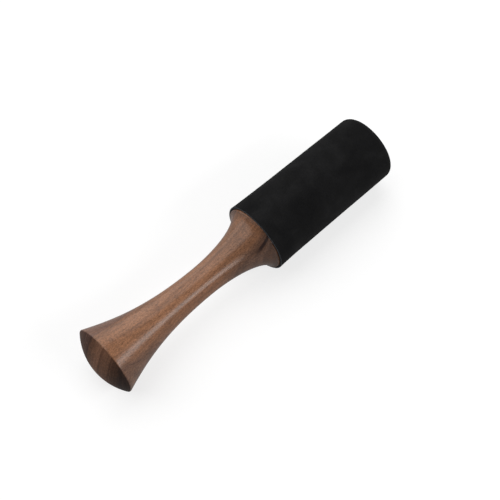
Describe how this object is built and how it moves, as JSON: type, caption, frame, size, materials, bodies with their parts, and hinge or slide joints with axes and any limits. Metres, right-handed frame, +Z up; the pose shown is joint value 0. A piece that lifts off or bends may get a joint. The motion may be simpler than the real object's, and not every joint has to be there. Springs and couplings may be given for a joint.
{
  "type": "singing bowl mallet",
  "caption": "Turned walnut mallet with a domed butt, a waisted handle and a straight head wrapped in black suede.",
  "frame": {"origin": "on the table, under the middle of the mallet's length as it lies on its side", "axes": "+X along the axis from the domed butt to the flat head end, +Z up from the table, +Y sideways"},
  "size_m": [0.175, 0.0362, 0.0362],
  "materials": {
    "walnut": "satin oiled walnut, grain along the handle",
    "cement": "dried contact cement",
    "suede": "matt black suede with a short nap"
  },
  "bodies": {
    "root": {"turned_body": "walnut", "cement_film": "cement", "suede_sleeve": "suede"}
  },
  "joints": []
}
